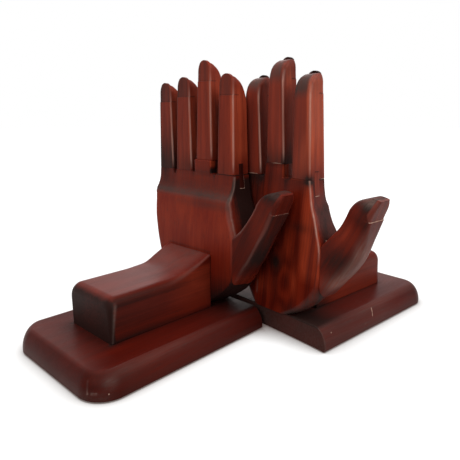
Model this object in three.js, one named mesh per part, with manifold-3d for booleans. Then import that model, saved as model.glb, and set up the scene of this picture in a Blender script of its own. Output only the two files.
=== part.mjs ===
// A pair of wooden bookends, each a life-size hand standing on a board.
// Millimetres, +Z up. Every piece is drawn for the right hand in the bookend's own frame:
// x = 0 is the book face and +x runs back from the books, y = 0 is the middle of the base with the
// thumb on the -y side, and z = 0 is the shelf. The left hand is the mirror image.

import * as THREE from 'three';
import { mergeVertices } from 'three/addons/utils/BufferGeometryUtils.js';
import Module from 'manifold-3d';

const wasm = await Module();
wasm.setup();

// Base board and felt
const BASE_LENGTH = 163.2;
const BASE_WIDTH = 122.4;
const BASE_THICKNESS = 17.5;
const BASE_SETBACK = 2.2;
const BASE_CORNER_RADIUS = 21;
const BASE_THUMB_SLOPE = 10;
const BASE_OUTER_SLOPE = 5.8;
const BASE_END_SLOPE = 8.4;
const BASE_SLOPE_BOW = 78;
const BASE_FOOT_BEVEL = 0.6;
const BASE_SLOPE_STEPS = 7;
const BASE_CORNER_STEPS = 6;
const FELT_THICKNESS = 1;
const FELT_INSET = 6;
const BASE_TOP = FELT_THICKNESS + BASE_THICKNESS;
const BASE_FAR_END = BASE_SETBACK + BASE_LENGTH;

// Forearm block
const FOREARM_LENGTH = 98;
const FOREARM_WIDTH = 54;
const FOREARM_MIDDLES = { left: 3.5, right: -2.1 };
const FOREARM_TOP = 53;
const FOREARM_RISE = 13.2;
const FOREARM_SWEEP = 46;
const FOREARM_SWEEP_POWER = 1.7;
const FOREARM_EDGE_RADIUS = 4.5;
const FOREARM_END_RADIUS = 7;
const FOREARM_CORNER_RADIUS = 4.5;
const FOREARM_FOOT_RADIUS = 0.8;
const FOREARM_SWEEP_STEPS = 7;
const FOREARM_END_STEPS = 4;

// Palm block: a row gives the height, the thickness there, and the thumb side and outer side in y of
// the book face and of the back of the hand. The edges run through the rows as smooth curves.
const FINGER_ROOT = 132;
const PALM_THICKNESS = 30.2;
const PALM_ROWS = [
  { z: BASE_TOP, back: PALM_THICKNESS, face: [-21, 24], rear: [-15, 16] },
  { z: 27, back: PALM_THICKNESS, face: [-38.2, 29.7], rear: [-28, 20.9] },
  { z: 36, back: PALM_THICKNESS, face: [-49.6, 34.8], rear: [-40, 27.5] },
  { z: 45, back: PALM_THICKNESS, face: [-54.4, 40.4], rear: [-48, 36.1] },
  { z: 54, back: PALM_THICKNESS, face: [-55, 44.3], rear: [-51.3, 42.9] },
  { z: 66, back: PALM_THICKNESS, face: [-55, 47.2], rear: [-53.1, 46.8] },
  { z: 81, back: 29.6, face: [-55, 50.3], rear: [-52.6, 50] },
  { z: 90, back: 28.5, face: [-53, 52.3], rear: [-49.5, 51.9] },
  { z: 101, back: 26.4, face: [-48.9, 54.6], rear: [-44.2, 54.3] },
  { z: 112, back: 24, face: [-44.8, 55.9], rear: [-41.2, 55.9] },
  { z: 122, back: 20.4, face: [-42.4, 55.4], rear: [-40.5, 55.3] },
  { z: FINGER_ROOT, back: 18.4, face: [-40, 54.8], rear: [-39.9, 54.7] },
];
const PALM_STEPS = 22;
const PALM_FACE_RADIUS = 2;
const PALM_BACK_RADIUS = 5;

// Fingers: y is the middle line and width the width, each at the root and at the tip
const STUB_HEIGHT = 10.2;
const MIDDLE_SEAM = FINGER_ROOT + STUB_HEIGHT;
const FINGERS = [
  { name: 'index', y: [-30.7, -29], width: [17.8, 15], top: FINGER_ROOT + 79, seam: FINGER_ROOT },
  { name: 'middle', y: [-4.6, -3.2], width: [20, 15.2], top: FINGER_ROOT + 90.6, seam: MIDDLE_SEAM },
  { name: 'ring', y: [20.5, 22.7], width: [20.4, 15.6], top: FINGER_ROOT + 78.8, seam: FINGER_ROOT },
  { name: 'little', y: [44.9, 47.6], width: [19, 14.8], top: FINGER_ROOT + 75, seam: FINGER_ROOT },
];
const FINGER_THICKNESS = 18.8;
const FINGER_TIP_THICKNESS = 16.4;
const FINGER_EDGE_RADIUS = 2.2;
const STUB_LEDGE = 0.9;
const STUB_SUNK = 1;
const CROTCH_DROP = 2;
const TIP_LENGTH = 10.5;
const TIP_POWER = 2.4;
const PAD_LENGTH = 24;
const PAD_POWER = 1.8;
const NAIL_LENGTH = 17.5;
const NAIL_THICKNESS = 3;
const NAIL_OVERHANG = 2.2;
const NAIL_DEPTH = 0.7;
const NAIL_STEP = 0.3;
const NAIL_STATIONS = 8;

// Thumb: stations from the glued end to the tip, with [y, z] on the finger side (inner) and on the nail
// side (outer) of the section, and its depth range. The cuticle is at the fifth station.
const THUMB_SEAM = -55;
const THUMB_SEAM_SLANT = 1.8;
const THUMB_ROWS = [
  { inner: [THUMB_SEAM, 85], outer: [THUMB_SEAM, 44.5], front: 1.5, back: 30 },
  { inner: [-58.3, 91.6], outer: [-66, 58.5], front: 3, back: 30.3 },
  { inner: [-63.2, 99.8], outer: [-76.7, 73.8], front: 5.4, back: 29.4 },
  { inner: [-67.9, 108.3], outer: [-83.3, 91.9], front: 5.4, back: 27.9 },
  { inner: [-72, 115.8], outer: [-88.2, 107], front: 4.4, back: 28 },
  { inner: [-77.2, 121.2], outer: [-92.2, 116.5], front: 5.8, back: 26.6 },
  { inner: [-86, 124.3], outer: [-94.4, 122.2], front: 9.5, back: 23 },
];
const THUMB_CUTICLE = 4;
const THUMB_STEPS = 3;
const THUMB_EDGE_RADIUS = 5;

// Hidden fixings
const TONGUE_THICKNESS = 5.4;
const TONGUE_DEPTH = 9.5;
const TONGUE_ABOVE = 9;
const TONGUE_BELOW = 12;
const DOWEL_DIAMETER = 6;
const WRIST_DOWEL_DIAMETER = 8;
const THUMB_DOWELS = [
  { name: 'thumb_dowel_lower', z: 64 },
  { name: 'thumb_dowel_upper', z: 76 },
];
const THUMB_DOWEL_DEPTH = 15;
const THUMB_DOWEL_LENGTH = 22;
const THUMB_DOWEL_IN_THUMB = 7;
const WRIST_DOWELS = [
  { name: 'wrist_dowel_inner', y: -9 },
  { name: 'wrist_dowel_outer', y: 15 },
];
const WRIST_DOWEL_Z = 44;
const WRIST_DOWEL_LENGTH = 30;
const WRIST_DOWEL_IN_PALM = 12;
const SCREW_LENGTH = 38;
const SCREW_DIAMETER = 4;
const SCREW_HEAD_DIAMETER = 8;
const SCREW_HEAD_HEIGHT = 3;
const SCREW_TIP_LENGTH = 5;
const SCREWS = [
  { name: 'base_screw_front', x: 16, y: 4 },
  { name: 'base_screw_middle', x: 60, y: 1 },
  { name: 'base_screw_rear', x: 108, y: 1 },
];

// Placing of the pair: the right bookend stands a little forward of the left and turned by a few degrees
const FACE_GAP = 1.3;
const SIDE_STEP = 61;
const TOE_IN = 4;

// Clearance of a glued or fitted joint, and the facets of round and curved pieces
const FIT = 0.3;
const ROUND_SIDES = 14;
const CORNER_STEPS = 3;
const MOST_ROUND = 0.4;
const SAME_POINT = 1e-4;

const WOOD = { color: 0x5a1710, roughness: 0.34, metalness: 0 };
const DARK_WOOD = { color: 0x35100c, roughness: 0.4, metalness: 0 };
const DOWEL_WOOD = { color: 0xb98a55, roughness: 0.7, metalness: 0 };
const STEEL = { color: 0x9a9ca0, roughness: 0.4, metalness: 0.9 };
const FELT = { color: 0x23422c, roughness: 0.98, metalness: 0 };

// Solids and meshes

function toSolid(geometry) {
  const plain = geometry.clone();
  plain.deleteAttribute('normal');
  plain.deleteAttribute('uv');
  const merged = mergeVertices(plain, SAME_POINT);
  const mesh = new wasm.Mesh({
    numProp: 3,
    vertProperties: new Float32Array(merged.attributes.position.array),
    triVerts: new Uint32Array(merged.index.array),
  });
  return new wasm.Manifold(mesh);
}

function toGeometry(solid) {
  const { vertProperties, triVerts } = solid.getMesh();
  const geometry = new THREE.BufferGeometry();
  geometry.setAttribute('position', new THREE.BufferAttribute(new Float32Array(vertProperties), 3));
  geometry.setIndex(new THREE.BufferAttribute(new Uint32Array(triVerts), 1));
  return geometry;
}

function mirrored(geometry) {
  const copy = geometry.clone().scale(-1, 1, 1);
  const order = copy.index.array;
  for (let i = 0; i < order.length; i += 3) {
    [order[i], order[i + 1]] = [order[i + 1], order[i]];
  }
  return copy;
}

// A closed outline through the corners, each rounded by its own radius
function roundedOutline(corners, radii) {
  const shape = new THREE.Shape();
  corners.forEach((corner, i) => {
    const before = corners[(i + corners.length - 1) % corners.length];
    const after = corners[(i + 1) % corners.length];
    const enter = corner.clone().add(before.clone().sub(corner).setLength(radii[i]));
    const leave = corner.clone().add(after.clone().sub(corner).setLength(radii[i]));
    if (i === 0) {
      shape.moveTo(enter.x, enter.y);
    } else {
      shape.lineTo(enter.x, enter.y);
    }
    shape.quadraticCurveTo(corner.x, corner.y, leave.x, leave.y);
  });
  return shape.getPoints(CORNER_STEPS);
}

// A skin over rings of points, closed by a fan at each end. The rings run anticlockwise as seen from
// the far end.
function skin(rings) {
  const around = rings[0].length;
  const points = rings.flat();
  const order = [];
  for (let row = 0; row < rings.length - 1; row++) {
    for (let i = 0; i < around; i++) {
      const a = row * around + i;
      const b = row * around + (i + 1) % around;
      order.push(a, b, b + around, a, b + around, a + around);
    }
  }
  const first = points.length;
  const start = (rings.length - 1) * around;
  for (const ring of [rings[0], rings[rings.length - 1]]) {
    const centre = new THREE.Vector3();
    ring.forEach((point) => centre.addScaledVector(point, 1 / around));
    points.push(centre);
  }
  for (let i = 0; i < around; i++) {
    const next = (i + 1) % around;
    order.push(next, i, first);
    order.push(start + i, start + next, first + 1);
  }
  const geometry = new THREE.BufferGeometry().setFromPoints(points);
  geometry.setIndex(order);
  return toSolid(geometry);
}

function box(xRange, yRange, zRange) {
  const ranges = [xRange, yRange, zRange];
  const [sx, sy, sz] = ranges.map(([low, high]) => high - low);
  const [cx, cy, cz] = ranges.map(([low, high]) => (low + high) / 2);
  return toSolid(new THREE.BoxGeometry(sx, sy, sz).translate(cx, cy, cz));
}

function lerp(a, b, t) {
  return a + (b - a) * t;
}

// A smooth curve through rows of values placed along one parameter
function smoothRows(places, rows) {
  const curve = new THREE.CubicInterpolant(places, rows.flat(), rows[0].length);
  return (place) => Array.from(curve.evaluate(place));
}

// Fixings

// A round-ended profile turned about the z axis, standing on z = 0
function screwSolid(extra) {
  const shank = SCREW_DIAMETER / 2 + extra;
  const head = SCREW_HEAD_DIAMETER / 2 + extra;
  const profile = [
    new THREE.Vector2(0, -extra),
    new THREE.Vector2(head, -extra),
    new THREE.Vector2(shank, SCREW_HEAD_HEIGHT + extra),
    new THREE.Vector2(shank, SCREW_LENGTH - SCREW_TIP_LENGTH),
    new THREE.Vector2(0, SCREW_LENGTH + extra),
  ];
  return new THREE.LatheGeometry(profile, ROUND_SIDES);
}

function screwAt(screw, extra) {
  return toSolid(screwSolid(extra).rotateX(Math.PI / 2).translate(screw.x, screw.y, FELT_THICKNESS));
}

function thumbDowelAt(dowel, extra) {
  const radius = DOWEL_DIAMETER / 2 + extra;
  const length = THUMB_DOWEL_LENGTH + 2 * extra;
  const middle = THUMB_SEAM - THUMB_DOWEL_IN_THUMB + THUMB_DOWEL_LENGTH / 2;
  const rod = new THREE.CylinderGeometry(radius, radius, length, ROUND_SIDES);
  return toSolid(rod.translate(THUMB_DOWEL_DEPTH, middle, dowel.z));
}

function wristDowelAt(dowel, extra) {
  const radius = WRIST_DOWEL_DIAMETER / 2 + extra;
  const length = WRIST_DOWEL_LENGTH + 2 * extra;
  const middle = PALM_THICKNESS - WRIST_DOWEL_IN_PALM + WRIST_DOWEL_LENGTH / 2;
  const rod = new THREE.CylinderGeometry(radius, radius, length, ROUND_SIDES).rotateZ(Math.PI / 2);
  return toSolid(rod.translate(middle, dowel.y, WRIST_DOWEL_Z));
}

// A flat slip of wood across the whole width of the finger root
function tongueAt(finger, extra) {
  const thick = TONGUE_THICKNESS / 2 + extra;
  const half = finger.width[0] / 2 + extra;
  return box(
    [TONGUE_DEPTH - thick, TONGUE_DEPTH + thick],
    [finger.y[0] - half, finger.y[0] + half],
    [finger.seam - TONGUE_BELOW - extra, finger.seam + TONGUE_ABOVE + extra],
  );
}

// Base board: sides and far end that round over to the top, widest on the thumb side, square palm end
function baseOutline(thumbInset, outerInset, endInset) {
  const far = BASE_FAR_END - BASE_CORNER_RADIUS;
  const half = BASE_WIDTH / 2 - BASE_CORNER_RADIUS;
  const along = BASE_CORNER_RADIUS - endInset;
  const thumb = BASE_CORNER_RADIUS - thumbInset;
  const outer = BASE_CORNER_RADIUS - outerInset;
  const shape = new THREE.Shape();
  shape.moveTo(-BASE_WIDTH / 2, -half - thumb);
  shape.lineTo(far, -half - thumb);
  shape.absellipse(far, -half, along, thumb, -Math.PI / 2, 0);
  shape.absellipse(far, half, along, outer, 0, Math.PI / 2);
  shape.lineTo(-BASE_WIDTH / 2, half + outer);
  return shape;
}

// The saw cut that leaves the palm end square, at distance x from the book face
function beforeEnd(x) {
  const reach = [-BASE_WIDTH, BASE_WIDTH];
  return box([-BASE_WIDTH, x], reach, reach);
}

function basePlate() {
  const rings = [];
  const row = (thumbInset, outerInset, endInset, z) => {
    const points = baseOutline(thumbInset, outerInset, endInset).getPoints(BASE_CORNER_STEPS);
    const apart = points.filter((p, i) => i === 0 || p.distanceTo(points[i - 1]) > SAME_POINT);
    rings.push(apart.map((p) => new THREE.Vector3(p.x, p.y, z)));
  };
  const foot = FELT_THICKNESS + BASE_FOOT_BEVEL;
  const bow = THREE.MathUtils.degToRad(BASE_SLOPE_BOW);
  row(BASE_FOOT_BEVEL, BASE_FOOT_BEVEL, BASE_FOOT_BEVEL, FELT_THICKNESS);
  for (let i = 0; i <= BASE_SLOPE_STEPS; i++) {
    const turn = (bow * i) / BASE_SLOPE_STEPS;
    const inwards = (1 - Math.cos(turn)) / (1 - Math.cos(bow));
    const up = Math.sin(turn) / Math.sin(bow);
    const z = lerp(foot, BASE_TOP, up);
    row(BASE_THUMB_SLOPE * inwards, BASE_OUTER_SLOPE * inwards, BASE_END_SLOPE * inwards, z);
  }
  let solid = skin(rings).subtract(beforeEnd(BASE_SETBACK));
  for (const screw of SCREWS) {
    solid = solid.subtract(screwAt(screw, FIT));
  }
  return solid;
}

function feltPad() {
  const options = { depth: FELT_THICKNESS, bevelEnabled: false, curveSegments: BASE_CORNER_STEPS };
  const sheet = new THREE.ExtrudeGeometry(baseOutline(FELT_INSET, FELT_INSET, FELT_INSET), options);
  return toSolid(sheet).subtract(beforeEnd(BASE_SETBACK + FELT_INSET));
}

// Forearm: a block with rounded long edges and a rounded far end, its top sweeping up into the hand
function forearmTop(x) {
  const left = Math.max(0, 1 - (x - PALM_THICKNESS) / FOREARM_SWEEP);
  return FOREARM_TOP + FOREARM_RISE * left ** FOREARM_SWEEP_POWER;
}

function forearm(middle) {
  const radius = FOREARM_END_RADIUS;
  const straight = PALM_THICKNESS + FOREARM_LENGTH - radius;
  const stations = [];
  for (let i = 0; i <= FOREARM_SWEEP_STEPS; i++) {
    stations.push(PALM_THICKNESS + lerp(FIT, FOREARM_SWEEP, i / FOREARM_SWEEP_STEPS));
  }
  for (let i = 0; i <= FOREARM_END_STEPS; i++) {
    stations.push(straight + radius * Math.sin((i / FOREARM_END_STEPS) * (Math.PI / 2)));
  }
  const rings = stations.map((x) => {
    const over = Math.max(0, x - straight) / radius;
    const drawIn = 1 - Math.sqrt(Math.max(0, 1 - over * over));
    const half = FOREARM_WIDTH / 2 - drawIn * FOREARM_CORNER_RADIUS;
    const top = forearmTop(x) - drawIn * radius;
    const corners = [
      new THREE.Vector2(middle - half, BASE_TOP),
      new THREE.Vector2(middle + half, BASE_TOP),
      new THREE.Vector2(middle + half, top),
      new THREE.Vector2(middle - half, top),
    ];
    const foot = FOREARM_FOOT_RADIUS;
    const edge = FOREARM_EDGE_RADIUS;
    const outline = roundedOutline(corners, [foot, foot, edge, edge]);
    return outline.map((p) => new THREE.Vector3(x, p.x, p.y));
  });
  let solid = skin(rings);
  for (const dowel of WRIST_DOWELS) {
    solid = solid.subtract(wristDowelAt(dowel, FIT));
  }
  for (const screw of SCREWS) {
    solid = solid.subtract(screwAt(screw, FIT));
  }
  return solid;
}

// Finger: a tapering block, its pad rounded over at the tip and a nail standing up at the back
function fingerRing(finger, z, ledge) {
  const tipStart = finger.top - TIP_LENGTH;
  const padStart = finger.top - PAD_LENGTH;
  const padEnd = finger.top - NAIL_OVERHANG;
  const rise = (Math.min(z, tipStart) - FINGER_ROOT) / (tipStart - FINGER_ROOT);
  const middle = lerp(...finger.y, rise);
  const overTip = Math.max(0, (z - tipStart) / TIP_LENGTH);
  const taper = lerp(...finger.width, rise);
  const width = taper * (1 - overTip ** TIP_POWER) ** (1 / TIP_POWER) + 2 * ledge;
  const thickness = lerp(FINGER_THICKNESS, FINGER_TIP_THICKNESS, rise);
  const nail = z > finger.top - NAIL_LENGTH;
  const back = nail ? thickness - NAIL_DEPTH : thickness + ledge;
  const overPad = THREE.MathUtils.clamp((z - padStart) / (padEnd - padStart), 0, 1);
  const padDepth = (1 - overPad ** PAD_POWER) ** (1 / PAD_POWER);
  const front = (1 - padDepth) * (FINGER_TIP_THICKNESS - NAIL_DEPTH - NAIL_THICKNESS);
  const radius = Math.min(FINGER_EDGE_RADIUS, MOST_ROUND * width, MOST_ROUND * (back - front));
  const corners = [
    new THREE.Vector2(front, middle - width / 2),
    new THREE.Vector2(back, middle - width / 2),
    new THREE.Vector2(back, middle + width / 2),
    new THREE.Vector2(front, middle + width / 2),
  ];
  const outline = roundedOutline(corners, [radius, radius, radius, radius]);
  return outline.map((p) => new THREE.Vector3(p.x, p.y, z));
}

function fingerSolid(finger) {
  const cuticle = finger.top - NAIL_LENGTH;
  const seam = finger.seam + FIT;
  const heights = [seam, (seam + cuticle) / 2, cuticle, cuticle + NAIL_STEP];
  for (let i = 1; i < NAIL_STATIONS; i++) {
    heights.push(cuticle + NAIL_LENGTH * Math.sin((i / NAIL_STATIONS) * (Math.PI / 2)));
  }
  const solid = skin(heights.map((z) => fingerRing(finger, z, 0)));
  return solid.subtract(tongueAt(finger, FIT));
}

// Palm: rows from the heel to the finger roots, a stub for the middle finger and a round crotch
// between neighbouring fingers. The thumb is glued to a flat on the edge of the hand.
function palm() {
  const section = smoothRows(
    PALM_ROWS.map((row) => row.z),
    PALM_ROWS.map((row) => [row.back, ...row.face, ...row.rear]),
  );
  const rings = [];
  for (let i = 0; i <= PALM_STEPS; i++) {
    const z = lerp(BASE_TOP, FINGER_ROOT, i / PALM_STEPS);
    const [back, faceThumb, faceOuter, rearThumb, rearOuter] = section(z);
    const corners = [
      new THREE.Vector2(0, Math.max(THUMB_SEAM, faceThumb)),
      new THREE.Vector2(back, rearThumb),
      new THREE.Vector2(back, rearOuter),
      new THREE.Vector2(0, faceOuter),
    ];
    const radii = [PALM_FACE_RADIUS, PALM_BACK_RADIUS, PALM_BACK_RADIUS, PALM_FACE_RADIUS];
    rings.push(roundedOutline(corners, radii).map((p) => new THREE.Vector3(p.x, p.y, z)));
  }
  let solid = skin(rings);
  const middleFinger = FINGERS[1];
  const stubHeights = [FINGER_ROOT - STUB_SUNK, middleFinger.seam];
  solid = solid.add(skin(stubHeights.map((z) => fingerRing(middleFinger, z, STUB_LEDGE))));
  for (let i = 0; i < FINGERS.length - 1; i++) {
    const low = FINGERS[i].y[0] + FINGERS[i].width[0] / 2;
    const high = FINGERS[i + 1].y[0] - FINGERS[i + 1].width[0] / 2;
    const radius = (high - low) / 2 - STUB_LEDGE / 2;
    const groove = new THREE.CylinderGeometry(radius, radius, 4 * FINGER_THICKNESS, ROUND_SIDES);
    groove.rotateZ(Math.PI / 2).translate(0, (low + high) / 2, FINGER_ROOT + radius - CROTCH_DROP);
    solid = solid.subtract(toSolid(groove));
  }
  for (const finger of FINGERS) {
    solid = solid.subtract(tongueAt(finger, FIT));
  }
  for (const dowel of THUMB_DOWELS) {
    solid = solid.subtract(thumbDowelAt(dowel, FIT));
  }
  for (const dowel of WRIST_DOWELS) {
    solid = solid.subtract(wristDowelAt(dowel, FIT));
  }
  return solid.subtract(screwAt(SCREWS[0], FIT));
}

// Thumb: a curved block whose sections turn from the glue face up to the tip, with the nail cut in a
// little on the outer side
function thumb() {
  const section = smoothRows(
    THUMB_ROWS.map((row, i) => i),
    THUMB_ROWS.map((row) => [...row.inner, ...row.outer, row.front, row.back]),
  );
  const ring = (place, sunk) => {
    const [innerY, innerZ, outerY, outerZ, front, back] = section(place);
    const across = Math.hypot(outerY - innerY, outerZ - innerZ);
    const wide = across - sunk;
    const radius = Math.min(THUMB_EDGE_RADIUS, MOST_ROUND * wide, MOST_ROUND * (back - front));
    const corners = [
      new THREE.Vector2(front, 0),
      new THREE.Vector2(front, wide),
      new THREE.Vector2(back, wide),
      new THREE.Vector2(back, 0),
    ];
    return roundedOutline(corners, [radius, radius, radius, radius]).map((p) => {
      const t = p.y / across;
      const atSeam = place === 0 ? THUMB_SEAM_SLANT * (p.x / PALM_THICKNESS) - FIT : 0;
      return new THREE.Vector3(p.x, lerp(innerY, outerY, t) + atSeam, lerp(innerZ, outerZ, t));
    });
  };
  const rings = [];
  for (let i = 0; i <= THUMB_STEPS * (THUMB_ROWS.length - 1); i++) {
    const place = i / THUMB_STEPS;
    rings.push(ring(place, place > THUMB_CUTICLE ? NAIL_DEPTH : 0));
    if (place === THUMB_CUTICLE) {
      rings.push(ring(place + NAIL_STEP / NAIL_LENGTH, NAIL_DEPTH));
    }
  }
  let solid = skin(rings);
  for (const dowel of THUMB_DOWELS) {
    solid = solid.subtract(thumbDowelAt(dowel, FIT));
  }
  return solid;
}

// The pieces of one hand, each with its finish. The two forearms were glued on a little apart.

function handPieces(side) {
  const pieces = [
    { name: 'base_plate', solid: basePlate(), finish: WOOD },
    { name: 'felt_pad', solid: feltPad(), finish: FELT },
    { name: 'forearm', solid: forearm(FOREARM_MIDDLES[side]), finish: WOOD },
    { name: 'palm', solid: palm(), finish: WOOD },
    { name: 'thumb', solid: thumb(), finish: WOOD },
  ];
  for (const finger of FINGERS) {
    pieces.push({ name: `${finger.name}_finger`, solid: fingerSolid(finger), finish: WOOD });
    pieces.push({ name: `${finger.name}_tongue`, solid: tongueAt(finger, 0), finish: DARK_WOOD });
  }
  for (const dowel of THUMB_DOWELS) {
    pieces.push({ name: dowel.name, solid: thumbDowelAt(dowel, 0), finish: DOWEL_WOOD });
  }
  for (const dowel of WRIST_DOWELS) {
    pieces.push({ name: dowel.name, solid: wristDowelAt(dowel, 0), finish: DOWEL_WOOD });
  }
  for (const screw of SCREWS) {
    pieces.push({ name: screw.name, solid: screwAt(screw, 0), finish: STEEL });
  }
  return pieces;
}

function bookend(side) {
  const group = new THREE.Group();
  for (const piece of handPieces(side)) {
    const geometry = toGeometry(piece.solid);
    const shown = side === 'left' ? mirrored(geometry) : geometry;
    const mesh = new THREE.Mesh(shown, new THREE.MeshStandardMaterial(piece.finish));
    mesh.name = `${side}_${piece.name}`;
    group.add(mesh);
  }
  return group;
}

const left = bookend('left');
const right = bookend('right');
right.position.set(FACE_GAP, -SIDE_STEP, 0);
right.rotation.z = -THREE.MathUtils.degToRad(TOE_IN);

const pair = new THREE.Group();
pair.add(left, right);

// The origin is on the shelf, under the middle of the pair
pair.updateMatrixWorld(true);
const bounds = new THREE.Box3().setFromObject(pair, true);
const middle = bounds.getCenter(new THREE.Vector3());
pair.position.set(-middle.x, -middle.y, -bounds.min.z);

export default pair;
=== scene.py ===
import bpy
import numpy as np
from mathutils import Matrix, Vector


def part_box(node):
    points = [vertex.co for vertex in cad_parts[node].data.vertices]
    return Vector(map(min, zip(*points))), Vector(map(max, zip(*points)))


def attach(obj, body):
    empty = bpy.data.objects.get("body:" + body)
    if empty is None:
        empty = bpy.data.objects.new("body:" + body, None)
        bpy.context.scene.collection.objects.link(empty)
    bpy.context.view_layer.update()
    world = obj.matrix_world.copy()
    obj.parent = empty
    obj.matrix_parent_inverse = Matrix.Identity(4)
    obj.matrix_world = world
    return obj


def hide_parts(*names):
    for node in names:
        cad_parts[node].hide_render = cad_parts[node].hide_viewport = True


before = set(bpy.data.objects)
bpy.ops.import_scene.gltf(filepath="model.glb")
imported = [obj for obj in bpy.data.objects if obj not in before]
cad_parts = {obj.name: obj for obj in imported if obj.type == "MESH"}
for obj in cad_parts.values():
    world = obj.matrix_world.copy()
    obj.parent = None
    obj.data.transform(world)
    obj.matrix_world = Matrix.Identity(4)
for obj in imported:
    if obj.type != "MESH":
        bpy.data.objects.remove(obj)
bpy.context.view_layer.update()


# Felt pads. Each bookend stands on a sheet of green felt a millimetre thick, cut a little smaller than its
# board and glued under it, so that neither the board nor its screws touch the shelf.
SIDES = ("left", "right")


def hands(left, right):
    """A value for each of the two hands."""
    return {"left": left, "right": right}


BOARD_SETBACK = 2.2
RIGHT_STEP = (1.3, -61.0)
RIGHT_TURN = np.radians(-4.0)
FELT_THICKNESS, FELT_INSET = 1.0, 6.0
FELT_LIGHT = (0.030, 0.075, 0.038, 1)
FELT_DARK = (0.012, 0.034, 0.018, 1)
BOARD_LENGTH, BOARD_WIDTH = 163.2, 122.4
BOARD_CORNER = 21.0
BOARD_TOP = 18.5
board_low, board_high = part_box("left_base_plate")
BOOK_FACE = (board_high[0] * 1000 + BOARD_SETBACK, (board_low[1] + board_high[1]) * 500)


def stand(side, points):
    """A bookend's own millimetres, back from the book face, across from the thumb side and up, as frame
    metres. The left hand's depth is mirrored; the right hand is set beside it and turned."""
    depth, across, up = points.T
    if side == "left":
        x, y = -depth, across
    else:
        cosine, sine = np.cos(RIGHT_TURN), np.sin(RIGHT_TURN)
        x = RIGHT_STEP[0] + cosine * depth - sine * across
        y = RIGHT_STEP[1] + sine * depth + cosine * across
    return np.stack([x + BOOK_FACE[0], y + BOOK_FACE[1], up], -1) / 1000


def board_rings(thumb_insets, outer_insets, end_insets, heights, near_inset=0.0, near_bow=0.0, taper=0.0):
    """Plan outlines of the board, a ring for each height: an end at the book face that may bow out, a thumb
    side that may taper in, a straight outer side, and a far end with elliptic corners."""
    columns = np.stack([thumb_insets, outer_insets, end_insets, heights])
    thumb_inset, outer_inset, end_inset, up = columns[..., None]
    near = BOARD_SETBACK + near_inset
    centre = BOARD_SETBACK + BOARD_LENGTH - BOARD_CORNER
    level = BOARD_WIDTH / 2 - BOARD_CORNER
    face, side, turn, end = (np.linspace(0, 1, n, endpoint=False) for n in (44, 200, 64, 60))
    quarter = turn * np.pi / 2
    along, thumb, outer = BOARD_CORNER - end_inset, BOARD_CORNER - thumb_inset, BOARD_CORNER - outer_inset
    bow = near_bow * (1 - 0.6 * up / BOARD_TOP)
    depth = np.concatenate([
        near - bow * np.clip(1 - 2 * face, 0, 1) ** 2, near + (centre - near) * side + 0 * bow,
        centre + along * np.sin(quarter), centre + along + 0 * end, centre + along * np.cos(quarter),
        centre + (near - bow - centre) * side], 1)
    width = np.concatenate([
        (level + thumb - taper) * (face - 1) + (level + outer) * face, level + outer + 0 * side,
        level + outer * np.cos(quarter), level * (1 - 2 * end) + 0 * bow, -level - thumb * np.sin(quarter),
        taper * side - level - thumb], 1)
    return np.stack([depth, width, up + 0 * depth, 0 * depth], -1)


def loft(rings, steps, top=True):
    """Closed skin over rings of points. Each ring joins the next, and each end is closed by copies of its
    ring drawn evenly to the middle. Channels past the third go along."""
    draw = np.linspace(0, 1, steps + 1)[1:-1][:, None, None]
    first, last = rings[0].mean(0), rings[-1].mean(0)
    rows = [first + draw * (rings[0] - first), rings]
    if top:
        rows.append(last + draw[::-1] * (rings[-1] - last))
    rows = np.concatenate(rows)
    count, around = rows.shape[:2]
    size = count * around
    index = np.arange(size).reshape(count, around)
    beside = np.roll(index, -1, 1)
    quads = np.stack([index[:-1], beside[:-1], beside[1:], index[1:]], -1).reshape(-1, 4)
    faces = [quads, np.stack([beside[0], index[0], np.full(around, size)], -1)]
    points = [rows.reshape(size, -1), first[None]]
    if top:
        faces.append(np.stack([index[-1], beside[-1], np.full(around, size + 1)], -1))
        points.append(last[None])
    return np.concatenate(points), faces, index


def put(name, data):
    """A new object of a mesh, lamp or camera, linked to the scene."""
    made = bpy.data.objects.new(name, data)
    bpy.context.scene.collection.objects.link(made)
    return made


def add_piece(side, name, node, slot, points, faces, material, sharp=38, grain=None, **tones):
    """Makes a mesh of a skin's groups of faces, turned outwards by the sign of the volume that they span,
    rides it on its bookend in place of its node, and keeps its grain and tones on its points."""
    placed = stand(side, points[:, :3])
    fans = ((placed[group[:, :1]], placed[group[:, 1:-1]], placed[group[:, 2:]]) for group in faces)
    if sum((first * np.cross(second, third)).sum() for first, second, third in fans) < 0:
        faces = [group[:, ::-1] for group in faces]
    mesh = bpy.data.meshes.new(f"{side}_{name}")
    mesh.from_pydata(placed, [], [face for group in faces for face in group.tolist()])
    mesh.polygons.foreach_set("use_smooth", np.ones(len(mesh.polygons), bool))
    mesh.set_sharp_from_angle(angle=np.radians(sharp))
    if grain:
        kept = mesh.attributes.new("grain", "FLOAT_VECTOR", "POINT")
        kept.data.foreach_set("vector", (np.stack(grain, -1) / 1000).astype(np.float32).ravel())
    for key, values in tones.items():
        mesh.attributes.new(key, "FLOAT", "POINT").data.foreach_set("value", values.astype(np.float32))
    mesh.materials.append(material)
    piece = put(f"{side}_{name}", mesh)
    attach(piece, f"{side}_bookend")
    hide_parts(f"{side}_{node}")
    return piece


def wire(tree, kind, inputs=(), output=0, **settings):
    """Adds a shader node, each input joined to a socket or set to a value, and gives one of its outputs."""
    made = tree.nodes.new("ShaderNode" + kind)
    for key, value in settings.items():
        setattr(made, key, value)
    for key, value in dict(inputs).items():
        if isinstance(value, bpy.types.NodeSocket):
            tree.links.new(value, made.inputs[key])
        else:
            made.inputs[key].default_value = value
    return made.outputs[output]


def calc(tree, operation, *values, clamp=False):
    """One step of arithmetic on sockets or numbers."""
    return wire(tree, "Math", enumerate(values), operation=operation, use_clamp=clamp)


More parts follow.
